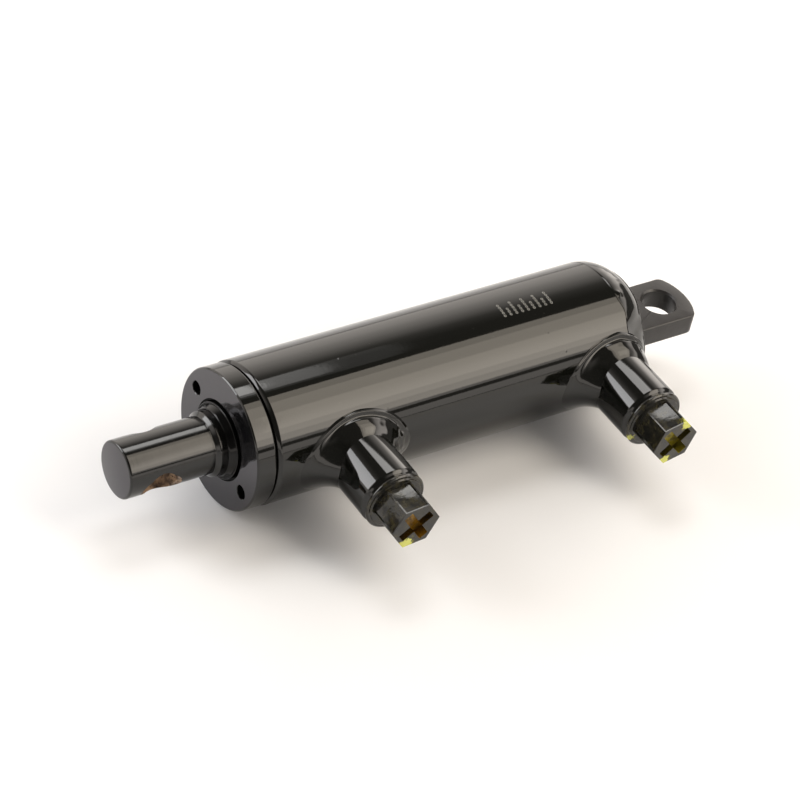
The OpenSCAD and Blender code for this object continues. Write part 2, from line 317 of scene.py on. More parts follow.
class Nodes(Tree):
    """Short ways to add nodes to a new material, whose shader gets the sockets given."""

    def __init__(self, name, **sockets):
        self.material = bpy.data.materials.new(name)
        self.material.use_nodes = True
        super().__init__(self.material.node_tree)
        self.shader = self.tree.nodes["Principled BSDF"]
        for socket, value in sockets.items():
            self.shader.inputs[socket.replace("_", " ")].default_value = value
        self.place = self.add("ShaderNodeTexCoord").outputs["Object"]

    def stretched(self, scale):
        """Object coordinates scaled by (x, y, z)."""
        return self.add("ShaderNodeMapping", {"Vector": self.place, "Scale": scale}).outputs[0]

    def noise(self, size_mm, detail=2.0, place=None, roughness=0.5):
        """Noise whose features are about size_mm across."""
        links = {"Vector": place or self.place, "Scale": 1000 / size_mm, "Detail": detail,
                 "Roughness": roughness}
        return self.add("ShaderNodeTexNoise", links).outputs["Fac"]

    def spots(self, spacing_mm, radius_mm, softness_mm):
        """Small round spots, one in each cell of a random net."""
        cells = self.add("ShaderNodeTexVoronoi", {"Vector": self.place, "Scale": 1000 / spacing_mm})
        share = radius_mm / spacing_mm
        soft = softness_mm / spacing_mm
        return self.ramp(cells.outputs["Distance"], share + soft, share - soft, 0, 1)

    def uneven(self, size_mm, detail, low, high):
        """A roughness that wanders between two values in patches about size_mm across."""
        return self.ramp(self.noise(size_mm, detail), 0.3, 0.7, low, high)

    def bump(self, height, depth_mm, normal=None):
        """Relief depth_mm deep where height goes from 0 to 1."""
        links = {"Height": height, "Distance": depth_mm * MM, "Strength": 1.0}
        if normal:
            links["Normal"] = normal
        return self.add("ShaderNodeBump", links).outputs["Normal"]

    def use(self, **sockets):
        """Drives the shader's sockets, and returns the material."""
        for socket, value in sockets.items():
            self.tree.links.new(value, self.shader.inputs[socket.replace("_", " ")])
        return self.material


def enamel(name, peel, lumps=0.0):
    """Thick black enamel with orange peel, dust nibs and a slightly uneven gloss."""
    n = Nodes(name, IOR=1.5)
    gloss, black, grey = 0.055, (0.0035, 0.0037, 0.0028, 1), (0.09, 0.09, 0.08, 1)
    roughness = n.uneven(30, 3, gloss * 0.8, gloss * 1.35)
    relief = n.bump(n.noise(1.8, 1.5), peel)
    relief = n.bump(n.noise(0.7, 1), peel * 0.35, relief)
    if lumps:
        relief = n.bump(n.noise(5, 2), lumps, relief)
    kept = n.ramp(n.noise(22, 0), 0.58, 0.62, 0, 1)
    nibs = n.math("MULTIPLY", n.spots(7, 0.35, 0.25), kept)
    relief = n.bump(nibs, 0.05, relief)
    dusty = n.ramp(n.noise(25, 1), 0.50, 0.60, 0, 1)
    dust = n.math("MULTIPLY", n.spots(2.4, 0.10, 0.06), dusty)
    shade = n.mix(dust, black, grey)
    return n.use(Base_Color=shade, Roughness=roughness, Normal=relief)


def machined_enamel(name):
    """Black enamel over a turned surface, whose fine rings still show."""
    n = Nodes(name, Base_Color=(0.004, 0.004, 0.0035, 1), IOR=1.5)
    rings = n.noise(0.9, 3, n.stretched((1, 0.03, 0.03)), 0.8)
    streaks = n.noise(2.2, 3, n.stretched((1, 0.15, 0.15)))
    roughness = n.ramp(streaks, 0.3, 0.7, 0.06, 0.13)
    relief = n.bump(n.noise(1.4, 2), 0.006, n.bump(rings, 0.012))
    return n.use(Roughness=roughness, Normal=relief)


def faced_enamel(name):
    """Black enamel over a faced surface: faint rings about the cylinder's axis."""
    n = Nodes(name, Base_Color=(0.004, 0.004, 0.0045, 1), IOR=1.66,
              Specular_Tint=(0.97, 0.92, 1.0, 1))
    parts = n.add("ShaderNodeSeparateXYZ", {0: n.place})
    flat = n.add("ShaderNodeCombineXYZ", {"Y": parts.outputs["Y"], "Z": parts.outputs["Z"]})
    length = n.add("ShaderNodeVectorMath", {0: flat.outputs[0]}, operation="LENGTH")
    ring_place = n.add("ShaderNodeCombineXYZ", {"X": length.outputs["Value"]})
    rings = n.noise(0.6, 2, ring_place.outputs[0], 0.6)
    roughness = n.uneven(9, 3, 0.06, 0.11)
    relief = n.bump(rings, 0.0008, n.bump(n.noise(1.8, 1.5), 0.004))
    return n.use(Roughness=roughness, Normal=relief)


def satin_enamel(name):
    """Thin satin paint over a rolled bar, with faint pits and rub marks."""
    n = Nodes(name, IOR=1.5)
    shade = n.noise(12, 4)
    colour = n.mix(shade, (0.010, 0.009, 0.009, 1), (0.020, 0.018, 0.017, 1))
    roughness = n.uneven(5, 4, 0.30, 0.42)
    relief = n.bump(n.noise(1.2, 4), 0.03, n.bump(n.noise(7, 2), 0.08))
    return n.use(Base_Color=colour, Roughness=roughness, Normal=relief)


def rust(name):
    """Bare bored steel gone brown, with darker pits."""
    n = Nodes(name, IOR=1.5)
    patches = n.ramp(n.noise(3.5, 5), 0.38, 0.62, 0, 1)
    colour = n.mix(patches, (0.09, 0.06, 0.04, 1), (0.36, 0.24, 0.15, 1))
    pits = n.ramp(n.noise(1.4, 3), 0.55, 0.66, 0, 1)
    colour = n.mix(pits, colour, (0.03, 0.018, 0.012, 1))
    relief = n.bump(n.noise(0.8, 4), 0.06)
    return n.use(Base_Color=colour, Roughness=n.ramp(pits, 0, 1, 0.45, 0.8), Normal=relief)


def rubber(name, colour=(0.006, 0.006, 0.006, 1), gloss=0.22, shine=1.5):
    """Moulded rubber with a fine grain. shine is its refractive index."""
    n = Nodes(name, Base_Color=colour, IOR=shine)
    roughness = n.uneven(4, 3, gloss * 0.8, gloss * 1.3)
    return n.use(Roughness=roughness, Normal=n.bump(n.noise(0.8, 3), 0.008))


def metal(name, colour, gloss, grain_mm, relief_mm):
    """Machined metal with fine rings about the cylinder's axis."""
    n = Nodes(name, Metallic=1.0)
    dark = [c * 0.8 for c in colour] + [1]
    shade = n.mix(n.noise(8, 4), dark, [*colour, 1])
    rings = n.noise(grain_mm, 2, n.stretched((1, 0.02, 0.02)), 0.7)
    roughness = n.uneven(3, 4, gloss * 0.8, gloss * 1.3)
    return n.use(Base_Color=shade, Roughness=roughness, Normal=n.bump(rings, relief_mm))


def resin(name, colour, gloss=0.4):
    """Moulded or turned plastic with a mottled tone."""
    n = Nodes(name, IOR=1.5)
    shade = n.mix(n.noise(2.5, 4), [*(c * 0.75 for c in colour), 1], [*colour, 1])
    roughness = n.uneven(4, 3, gloss * 0.8, gloss * 1.2)
    return n.use(Base_Color=shade, Roughness=roughness, Normal=n.bump(n.noise(0.7, 3), 0.006))


def oversprayed_plastic(name, bare_spots):
    """Yellow plastic under an uneven coat of black enamel. bare_spots are [centre, radius] in mm,
    where the spray left the plastic bare."""
    n = Nodes(name, IOR=1.5)
    ragged = n.ramp(n.noise(1.6, 4), 0.3, 0.7, -1.1 * MM, 1.1 * MM)
    speckled = n.ramp(n.noise(0.9, 3), 0.45, 0.60, 0, 0.85)
    bare, fringe = 0.0, 0.0
    for centre, radius in bare_spots:
        away = n.add("ShaderNodeVectorMath", {0: n.place, 1: Vector(centre) * MM},
                     operation="DISTANCE").outputs["Value"]
        edge = n.math("ADD", away, ragged)
        here = n.ramp(edge, (radius + 0.35) * MM, (radius - 0.35) * MM, 0, 1)
        bare = n.math("MAXIMUM", bare, here)
        around = n.ramp(edge, (radius + 1.9) * MM, (radius + 0.2) * MM, 0, 1)
        fringe = n.math("MAXIMUM", fringe, n.math("MULTIPLY", around, speckled))
    thin = n.ramp(n.noise(2.6, 5), 0.42, 0.70, 0, 0.75)
    coat = n.mix(thin, (0.006, 0.006, 0.005, 1), (0.042, 0.036, 0.016, 1))
    coat = n.mix(fringe, coat, (0.16, 0.15, 0.012, 1))
    yellow = n.mix(n.noise(1.5, 3), (0.42, 0.42, 0.04, 1), (0.64, 0.66, 0.16, 1))
    roughness = n.uneven(2, 3, 0.07, 0.16)
    relief = n.bump(n.noise(0.9, 3), 0.015, n.bump(n.noise(3.5, 2), 0.07))
    return n.use(Base_Color=n.mix(bare, coat, yellow), Roughness=roughness, Normal=relief)


def slot_plastic_and_painted_shade(name, colour):
    """The plug's plastic deep in its cross, under a thin mist of spray: a light one for the slot
    that the spray missed, and a dark one for the slot across it, its plastic darkened as painted
    shade."""
    made = []
    # For the dark slot, the plastic at 0.22 of its colour is painted shade in its recess
    for kind, clear, misted in (("light", colour, [c * 0.3 for c in colour]),
                                ("dark", [c * 0.22 for c in colour], [0.006, 0.005, 0.004])):
        n = Nodes(f"{name}_slot_{kind}", IOR=1.5)
        mist = n.ramp(n.noise(2.2, 4), 0.45, 0.68, 0, 1)
        made.append(n.use(Base_Color=n.mix(mist, [*clear, 1], [*misted, 1]),
                          Roughness=n.ramp(mist, 0, 1, 0.25, 0.45),
                          Normal=n.bump(n.noise(0.8, 3), 0.02)))
    return made


PAINT = enamel("black_enamel", peel=0.004)
WELD_PAINT = enamel("weld_enamel", peel=0.005, lumps=0.02)
FACE_PAINT = faced_enamel("faced_enamel")
# Light grey for the punch marks: a painted highlight that stands in for the glint off their rims
PUNCH_MARK_HIGHLIGHT_PAINT = resin("punch_mark_painted_highlight", (0.24, 0.24, 0.22), 0.25)
NOSE_PAINT = machined_enamel("nose_enamel")
BARE_PLASTIC = resin("bare_yellow_plastic", (0.66, 0.62, 0.10), 0.35)
PORT_STEEL = resin("oiled_port_steel", (0.12, 0.11, 0.10), 0.3)
LUG_PAINT = satin_enamel("lug_enamel")
HOLE_RUST = rust("pin_hole_rust")
WIPER = rubber("wiper_rubber", colour=(0.002, 0.002, 0.002, 1), gloss=0.10, shine=1.33)
CHROME = metal("hard_chrome", (0.62, 0.63, 0.66), 0.06, 0.3, 0.0004)


# ---------------------------------------------------------------------------------------------
# Barrel, its end and its welds
# ---------------------------------------------------------------------------------------------

def toe_of_end_weld(angle):
    """Where the end weld's bead ends on the barrel, which wanders round it."""
    wave = 0.35 * wander((12 * math.cos(angle), 12 * math.sin(angle), 0), 5, 4)
    return weld_toe - 0.5 + wave - 1.2 * bump_at(angle, 55, 9)


def dent_of_end(angle):
    """How far the end's rim lies inside its full radius, where the weld was dressed flat."""
    return 1.8 * bump_at(angle, 34, 22)


def make_barrel():
    """The tube, with the thread and the bore that hold the gland."""
    outline = rounded([
        (tube_rear, bore_r), (tube_rear + 0.5, thread_r), (weld_toe, tube_r),
        (tube_front - 1.5, tube_r, 1.4), (tube_front - 0.2, tube_r - 1.1, 0.5),
        (tube_front - 0.2, thread_r), (tube_front - thread_depth, thread_r),
        (tube_front - thread_depth, bore_r)])

    def shape(along, radius, angle):
        if abs(along - weld_toe) < 0.01:
            along = toe_of_end_weld(angle) + 0.4
        return along, radius

    made = piece("barrel_tube_painted", turned(outline, shape=shape, segments=192), "barrel",
                 PAINT, ["barrel_tube"])
    radial_normals(made, tube_r)


def make_end_cap():
    """The steel plug in the tube's rear end, its rim dented where the weld was dressed."""
    outline = rounded([
        (cap_rear, 0), (cap_rear, cap_r - 0.2, 0.5), (tube_rear, cap_r - 0.2),
        (tube_rear, bore_r - 0.1), (cap_high.x, bore_r - 0.1, 0.8), (cap_high.x, 0)])

    def shape(along, radius, angle):
        if radius > 20 and along < tube_rear - 1:
            radius -= dent_of_end(angle)
        return along, radius

    made = piece("end_cap_painted", turned(outline, shape=shape), "barrel", PAINT,
                 ["end_cap"])
    weigh_normals(made)


def make_end_weld():
    """The bead from the end cap's rim up to the barrel, with weld ripples and one paint drip."""
    steps, segments, ripples = 26, 320, 46
    drip_angle, drip_r, drip_width, drip_high = math.radians(70), 0.9, 0.55, 0.75
    rim_x = cap_rear + 0.7
    points = []
    for k in range(segments):
        angle = TURN * k / segments
        toe_x = toe_of_end_weld(angle)
        rim_r = cap_r - 0.25 - dent_of_end(angle)
        bulge = 1.45 - 1.6 * bump_at(angle, 38, 13)
        for i in range(steps + 1):
            t = i / steps
            along = rim_x + (toe_x - rim_x) * t
            radius = rim_r + (tube_r - rim_r) * t
            spot = about_x(along, radius, angle)
            between = math.sin(math.pi * t)
            lift = bulge * between ** 0.9
            lift += 0.14 * wander(spot, 9, 1) * between
            lift += 0.03 * math.sin(angle * ripples + 2.2 * t) * between ** 2
            away = math.hypot((angle - drip_angle) * tube_r, along - (toe_x - 1.2))
            lift += drip_high * math.exp(-((away - drip_r) / drip_width) ** 2)
            out = Vector((rim_r - tube_r, toe_x - rim_x)).normalized()
            points.append(about_x(along + out.x * lift, min(radius + out.y * lift, tube_r), angle))
        points.append(about_x(toe_x + 0.5, tube_r - 0.3, angle))
        points.append(about_x(tube_rear + 1.0, thread_r + 0.3, angle))
        points.append(about_x(rim_x, rim_r - 1.0, angle))
    piece("end_weld_bead", (points, closed_grid(segments, steps + 4)), "barrel",
          WELD_PAINT, ["end_cap_weld"], sharp=50)


def make_punch_marks():
    """A plain scale of punched dots, long and short strokes in turn, on top of the barrel."""
    first_x, pitch, start_deg, step_deg = 71.5, 3.1, 79, 2.9
    strokes, long_dots, short_dots = 9, 5, 3
    rim, bead, spokes, rings = 0.5, 0.2, 14, 8
    points, faces = [], []
    for stroke in range(strokes):
        for dot in range(long_dots if stroke % 2 == 0 else short_dots):
            angle = math.radians(start_deg + step_deg * dot)
            first = len(points)
            for s in range(spokes):
                turn = TURN * s / spokes
                for q in range(rings):
                    phase = TURN * q / rings
                    away = rim + bead * math.cos(phase)
                    points.append(about_x(first_x + pitch * stroke + away * math.cos(turn),
                                          tube_r - 0.08 + bead * 0.7 * math.sin(phase),
                                          angle + away * math.sin(turn) / tube_r))
            faces += [tuple(first + i for i in face) for face in closed_grid(spokes, rings)]
    # The marks' light grey is a painted highlight for the glint off their rims
    piece("punch_marks", (points, faces), "barrel", PUNCH_MARK_HIGHLIGHT_PAINT, sharp=80)


def lug_outline(count):
    """The lug's outline in evenly spaced points: a flat bar with a shallow curved end."""
    end_r, half_w, corner_r = 25.6, lug_high.y, 4.2
    centre_x = end_r + lug_low.x
    corner_x = centre_x - math.sqrt(end_r ** 2 - half_w ** 2)
    widest, parts, drawn = math.asin(half_w / end_r), 12, 8
    turns = [widest * s / parts for s in range(drawn, -drawn - 1, -1)]
    end = [(centre_x - end_r * math.cos(a), end_r * math.sin(a)) for a in turns]
    foot = cap_rear + 0.3
    corners = [(foot, half_w), (corner_x, half_w, corner_r), *end, (corner_x, -half_w, corner_r),
               (foot, -half_w)]
    path = [Vector(p) for p in rounded(corners, 6)]
    lengths = [0.0]
    for a, b in zip(path, path[1:] + path[:1]):
        lengths.append(lengths[-1] + (b - a).length)
    spaced = []
    j = 0
    for i in range(count):
        want = lengths[-1] * i / count
        while lengths[j + 1] < want:
            j += 1
        share = (want - lengths[j]) / (lengths[j + 1] - lengths[j])
        spaced.append(path[j].lerp(path[(j + 1) % len(path)], share))
    return spaced


def make_lug():
    """The flat base lug, with rounded edges and a chamfered pin hole."""
    count, edge, arc_steps = 240, 0.9, 4
    half_t = lug_high.z
    outline = lug_outline(count)
    inward = []
    for i in range(count):
        way = (outline[(i + 1) % count] - outline[i - 1]).normalized()
        side = Vector((-way.y, way.x))
        inward.append(side if side.dot(outline[i]) < 0 else -side)
    hole_r, chamfer = base_dims["r_mm"], 0.8
    loops = []
    for k in range(arc_steps + 1):
        a = math.pi / 2 * k / arc_steps
        loops.append((edge * (1 - math.sin(a)), half_t - edge * (1 - math.cos(a))))
    loops += [(inset, -z) for inset, z in reversed(loops)]
    points = []
    for inset, z in loops:
        points += [(*(outline[i] + inward[i] * inset), z) for i in range(count)]
    bore = [(hole_r + chamfer, -half_t), (hole_r, chamfer - half_t),
            (hole_r, half_t - chamfer), (hole_r + chamfer, half_t)]
    for radius, z in bore:
        points += [(*(p.normalized() * radius), z) for p in outline]
    piece("rear_lug_painted", (points, closed_grid(len(loops) + len(bore), count)), "barrel",
          LUG_PAINT, ["rear_lug"])


def make_lug_weld():
    """A rippled fillet bead all round the foot of the lug."""
    leg, steps, count, ripples = 4.4, 8, 220, 66
    half_y, half_z = lug_high.y, lug_high.z
    power = 8
    sunk_x = cap_rear + 0.3
    points = []
    for k in range(count):
        angle = TURN * k / count
        way = Vector((math.cos(angle), math.sin(angle)))
        # The foot is a rectangle with soft corners: a superellipse of this power
        reach = (abs(way.x / half_y) ** power + abs(way.y / half_z) ** power) ** (-1 / power)
        foot = way * reach
        side = Vector((math.copysign(abs(foot.x / half_y) ** (power - 1), foot.x) / half_y,
                       math.copysign(abs(foot.y / half_z) ** (power - 1), foot.y) / half_z))
        side.normalize()
        for i in range(steps + 1):
            t = i / steps
            ripple = 0.12 * math.sin(ripples * angle) + 0.5 * wander((*foot, t * 4), 5, 8)
            lift = (0.5 + ripple) * math.sin(math.pi * t)
            spot = foot + side * (leg * t + lift * 0.7)
            points.append((cap_rear - leg * (1 - t) - lift * 0.7, *spot))
        points.append((sunk_x, *(foot + side * leg)))
        points.append((sunk_x, *(foot - side * 1.0)))
        points.append((cap_rear - leg, *(foot - side * 0.6)))
    piece("lug_weld_bead", (points, closed_grid(count, steps + 4)), "barrel",
          WELD_PAINT, ["lug_weld"], sharp=60)


# ---------------------------------------------------------------------------------------------
# Ports and plugs
# ---------------------------------------------------------------------------------------------

def skin_r(x):
    """Radius of the barrel's painted surface at a station along it."""
    if x >= weld_toe:
        return tube_r
    t = (x - cap_rear) / (weld_toe - cap_rear)
    return cap_r + (tube_r - cap_r) * t + 1.2 * math.sin(math.pi * max(t, 0))


def skin_y(x, z):
    """Height of the barrel's painted surface on the ports' side."""
    return math.sqrt(max(skin_r(x) ** 2 - z ** 2, 1))


def make_boss(name, node, centre_x, boss_r, top):
    """A round boss with a threaded port, whose threads are bare, and an oil way."""
    thread, groove, pitch, turns = 9.4, 0.55, 1.6, 9
    foot_y, floor_y, oil_way = 27, 42, 6.0
    threads = []
    for i in range(2 * turns):
        threads.append((top - 1 - pitch * i / 2, thread + (groove if i % 2 == 0 else 0)))
    outline = rounded([
        (foot_y, boss_r), (top - 1.9, boss_r, 1.2), (top - 0.9, boss_r - 1.15, 0.5),
        (top, boss_r - 1.5, 0.4), (top, thread + 0.7)])
    outline += threads + [(floor_y, oil_way), (foot_y, oil_way)]

    def inside(at, normal):
        return math.hypot(at.x - centre_x, at.z) < thread + 0.6 and at.y < top - 0.3

    made = piece(name, turned(outline, about_y(centre_x)), "barrel", PAINT, [node])
    refinish(made, PORT_STEEL, inside)


def make_saddle_weld(name, node, centre_x, boss_r, back_reach, seed):
    """The wide bead round a boss's foot. Its upper side has a shoulder, a valley and a lip."""
    front_reach, side_reach = 28.4, 20.3
    side_root, top_root, bottom_root = 39.3, 34.6, 36.2
    steps, count = 48, 240
    points = []
    for k in range(count):
        a = TURN * k / count
        upper = bump_at(a, 102, 44)
        rough_side = bump_at(a, 165, 42)
        reach = Vector(((front_reach if math.cos(a) > 0 else back_reach) * math.cos(a),
                        side_reach * math.sin(a)))
        toe_r = reach.length * (1 + 0.015 * wander((3 * math.cos(a), 3 * math.sin(a), 0), 1, seed))
        way = reach.normalized()

        def skin(r):
            return skin_y(centre_x + way.x * r, way.y * r)

        # From the boss over a knee to the barrel, as distance from the boss's axis and height
        root = top_root if math.sin(a) > 0 else bottom_root
        start = Vector((boss_r - 0.1, root + (side_root - root) * math.cos(a) ** 2))
        end = Vector((toe_r, skin(toe_r) + 0.06 + 0.30 * upper))
        knee = Vector((boss_r + 2.2, (start.y + end.y * 2) / 3 + 0.6))
        knee = knee.lerp((start + end) / 2, upper * 0.9)
        for i in range(steps + 1):
            t = i / steps
            spot = start * (1 - t) ** 2 + knee * 2 * t * (1 - t) + end * t ** 2
            tangent = ((knee - start) * (1 - t) + (end - knee) * t).normalized()
            out = Vector((-tangent.y, tangent.x))
            out = out if out.y > 0 else -out
            world = (centre_x + way.x * spot.x, spot.y, way.y * spot.x)
            shoulder = 0.45 * upper * math.exp(-((t - 0.38) / 0.24) ** 2)
            valley = 0.80 * upper * math.exp(-((t - 0.78) / 0.075) ** 2)
            lip = (0.03 + 0.50 * upper) * math.exp(-((t - 0.93) / 0.04) ** 2)
            between = math.sin(math.pi * t)
            lumps = 0.20 * wander(world, 9, seed) + 0.55 * rough_side * wander(world, 3.6, seed + 1)
            spot += out * (shoulder - valley + lip + lumps * between)
            points.append((centre_x + way.x * spot.x, spot.y, way.y * spot.x))
        for r, under in ((toe_r + 0.35, -0.15), (toe_r - 0.5, -0.5), (boss_r - 1, -0.5)):
            points.append((centre_x + way.x * r, skin(r) + under, way.y * r))
    piece(name, (points, closed_grid(count, steps + 4)), "barrel", WELD_PAINT,
          [node], sharp=60)


def make_port(name, boss_node, weld_node, back_reach, seed):
    """A port boss and the weld that joins it to the barrel."""
    low, high = span(boss_node)
    centre_x = (low.x + high.x) / 2
    boss_r = high.z - 0.03
    make_boss(f"{name}_boss_painted", boss_node, centre_x, boss_r, high.y)
    make_saddle_weld(f"{name}_weld_bead", weld_node, centre_x, boss_r, back_reach, seed)


def make_plug_shank(name, body, low_y, flange_r, place, material):
    """A plug's threaded shank, bare inside the port, and its round flange with a groove."""
    pitch, shank_r = 1.6, 9.28
    outline = rounded([
        (low_y, shank_r - 2.2), (flange_high, 4), (flange_high + 0.3, 4),
        (flange_high + 0.3, hex_r * 0.8), (flange_high, hex_r * 0.84),
        (flange_high, flange_r - 2.0, 0.3), (flange_high - 0.7, flange_r - 1.7, 0.3),
        (flange_high - 0.5, flange_r - 0.7, 0.3), (flange_high - 1.1, flange_r, 0.4),
        (flange_low + 0.7, flange_r, 0.4), (flange_low + 0.6, flange_r - 0.9, 0.2),
        (flange_low, flange_r - 1.0), (flange_low, shank_r)])
    outline += [(y, shank_r) for y in lines(flange_low, low_y, pitch / 8)]
    outline.append((low_y, shank_r - 0.8))

    def thread(along, radius, angle):
        if low_y < along < flange_low - 1 and abs(radius - shank_r) < 0.01:
            phase = (along / pitch - angle / TURN) % 1
            radius -= 0.9 * abs(phase - 0.5)
        return along, radius

    made = piece(name, turned(outline, place, 144, thread), body, material)
    refinish(made, BARE_PLASTIC, lambda at, normal: at.y < flange_low - 0.02)


def framed_hexagon(name, top, turn_deg, place, material):
    """A hexagon whose sides are crowned frames round sunk panels."""
    mesh = bpy.data.meshes.new(name)
    work = bmesh.new()
    rings = []
    for y in (flange_high - 0.2, top - 0.03):
        rings.append([work.verts.new(Vector(place(y, hex_r, math.radians(60 * i + turn_deg))) * MM)
                      for i in range(6)])
    sides = [work.faces.new([rings[0][i], rings[0][(i + 1) % 6], rings[1][(i + 1) % 6],
                             rings[1][i]]) for i in range(6)]
    work.faces.new(rings[0][::-1])
    work.faces.new(rings[1])
    bmesh.ops.recalc_face_normals(work, faces=work.faces)
    for inset, rise in ((0.8, 0.065), (0.5, -0.8), (2.2, -0.25)):
        bmesh.ops.inset_individual(work, faces=sides, thickness=inset * MM, depth=rise * MM)
    work.to_mesh(mesh)
    work.free()
    mesh.materials.append(material)
    return placed(name, mesh)


def make_plug(name, node, body, turn_deg, slot_colour, bare):
    """A one-piece plug: threaded shank, round flange, and hexagon with a cross recess."""
    low, high = span(node)
    centre_x = (low.x + high.x) / 2
    place = about_y(centre_x)
    material = oversprayed_plastic(f"{name}_plastic", [
        (place(high.y - down, away, math.radians(angle)), radius)
        for angle, away, down, radius in bare])
    # dark is the slot plastic darkened as painted shade
    amber, dark = slot_plastic_and_painted_shade(name, slot_colour)
    make_plug_shank(f"{name}_flange", body, low.y, high.z - 0.02, place, material)
    head = framed_hexagon(f"{name}_hexagon", high.y, turn_deg, place, material)
    slot_w, deep, rim, corner = 4.4, 5.0, 1.7, 0.5

    def slot_tool(half_long, half_wide, inside):
        turn = math.radians(turn_deg)
        along = Vector((math.cos(turn), 0, math.sin(turn)))
        across = Vector((-math.sin(turn), 0, math.cos(turn)))
        middle = Vector((centre_x, 0, 0))
        loop = rounded([(-half_long, -half_wide, corner), (half_long, -half_wide, corner),
                        (half_long, half_wide, corner), (-half_long, half_wide, corner)], 3)
        ring = [middle + along * u + across * v for u, v in loop]
        count = len(ring)
        points = [p + Vector((0, y, 0)) for y in (high.y - deep, high.y + 1) for p in ring]
        faces = [tuple(range(count)), tuple(range(count, 2 * count))[::-1]]
        faces += [(i, (i + 1) % count, (i + 1) % count + count, i + count) for i in range(count)]
        return solid("tool", (points, faces), inside)

    cut(head, [slot_tool(hex_r - rim - slot_w / 4, slot_w / 2, amber),
               slot_tool(slot_w / 2, hex_flat - rim, dark)], sharp=25)
    soften = head.modifiers.new("soften", "BEVEL")
    soften.width = 0.42 * MM
    soften.segments = 3
    soften.limit_method = "ANGLE"
    soften.angle_limit = math.radians(28)
    soften.harden_normals = True
    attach(head, body)
    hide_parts(node)


# ---------------------------------------------------------------------------------------------
# Gland, wiper and rod
# ---------------------------------------------------------------------------------------------

def make_gland():
    """The screwed head with its wiper's pocket and two spanner holes."""
    back = gland_low.x
    thread_end = tube_front - thread_depth - 0.4
    pocket_x = gland_face - 5.4
    outline = rounded([
        (back, rod_r + 0.4), (back, bore_r - 0.1), (thread_end, bore_r - 0.1),
        (thread_end, thread_r - 0.1), (tube_front, thread_r - 0.1),
        (tube_front + 0.1, gland_r - 1.4, 0.4), (tube_front + 1.3, gland_r, 0.9),
        (gland_face - 0.6, gland_r, 0.4), (gland_face, gland_r - 0.6, 0.4),
        (gland_face, wiper_r + 0.25, 0.2), (gland_face - 0.4, wiper_r), (pocket_x, wiper_r),
        (pocket_x, rod_r + 0.4)])
    made = piece("gland_painted", turned(outline, segments=192), "barrel", PAINT,
                 ["gland"])
    tools = []
    hole_r, deep, chamfer = spanner_dims["hole_r_mm"], 7, 0.25
    first_hole = math.radians(152)
    for angle in (first_hole, first_hole + math.pi):
        at = Vector(about_x(0, spanner_dims["pcd_mm"] / 2, angle))
        profile = [(gland_face - deep, 0), (gland_face - deep + 0.8, hole_r),
                   (gland_face - chamfer, hole_r), (gland_face + chamfer, hole_r + 2 * chamfer),
                   (gland_face + 1, hole_r + 2 * chamfer), (gland_face + 1, 0)]
        points, faces = turned(profile, segments=48)
        tools.append(solid("tool", ([Vector(p) + at for p in points], faces), PAINT))
    cut(made, tools)
    radial_normals(made, gland_r)
    finish_face(made, gland_face)
    weigh_normals(made)


def make_wiper():
    """The rod wiper's ring, with an outer lip on the gland's face and one against the rod."""
    face = gland_face
    outline = rounded([
        (wiper_low.x, rod_r + 0.4), (wiper_low.x, wiper_r - 0.05), (face - 2.4, wiper_r - 0.05),
        (face - 2.4, wiper_r - 1.0, 0.3), (face + 1.0, wiper_r - 0.9, 0.25),
        (face + 1.2, wiper_r - 1.25, 0.15), (face + 0.5, wiper_r - 1.7, 0.25),
        (face + 3.2, rod_r + 0.75, 0.3), (wiper_high.x, rod_r + 0.15, 0.15),
        (wiper_high.x - 1, rod_r + 0.08), (face - 1, rod_r + 0.4)])
    piece("rod_wiper_ring", turned(outline), "barrel", WIPER, ["rod_wiper"])


def make_rod():
    """The chromed shaft, and the painted nose with its bored pin hole."""
    spigot_r, spigot_end = 9.5, 89
    shaft = rounded([
        (rod_low.x, 0), (rod_low.x, spigot_r, 0.7), (spigot_end, spigot_r),
        (spigot_end, rod_r, 0.5), (paint_start, rod_r), (paint_start, 0)])
    piece("rod_shaft_chrome", turned(shaft), "rod", CHROME, ["piston_rod"])
    start = nose_start + 0.2
    outline = rounded([
        (paint_start, 0), (paint_start, rod_r), (nose_start - 1.2, rod_r, 0.5),
        (start, nose_r + 0.05, 0.3), (start + 0.6, nose_r)])
    outline += [(x, nose_r) for x in lines(start + 0.6, tip - 2.6, 1.0)]
    outline += rounded([(tip - 2.4, nose_r), (tip, nose_r, 1.0), (tip, 0)])
    made = piece("rod_nose_painted", turned(outline, segments=192), "rod",
                 NOSE_PAINT, ["piston_rod"])
    hole_r, chamfer, past = pin_dims["r_mm"], 1.5, 2
    end, wide = nose_r + past, hole_r + chamfer + past
    profile = [(-end, 0), (-end, wide), (chamfer - nose_r, hole_r),
               (nose_r - chamfer, hole_r), (end, wide), (end, 0)]
    points, faces = turned(profile, segments=120)
    way = Vector((1, 0, 0)).rotation_difference(pin_axis).to_matrix()
    bore = solid("tool", ([way @ Vector(p) + pin_centre for p in points], faces), HOLE_RUST)
    cut(made, [bore], sharp=28)
    radial_normals(made, nose_r)
    finish_face(made, tip)


# ---------------------------------------------------------------------------------------------
# CAD nodes that keep their own shape
# ---------------------------------------------------------------------------------------------

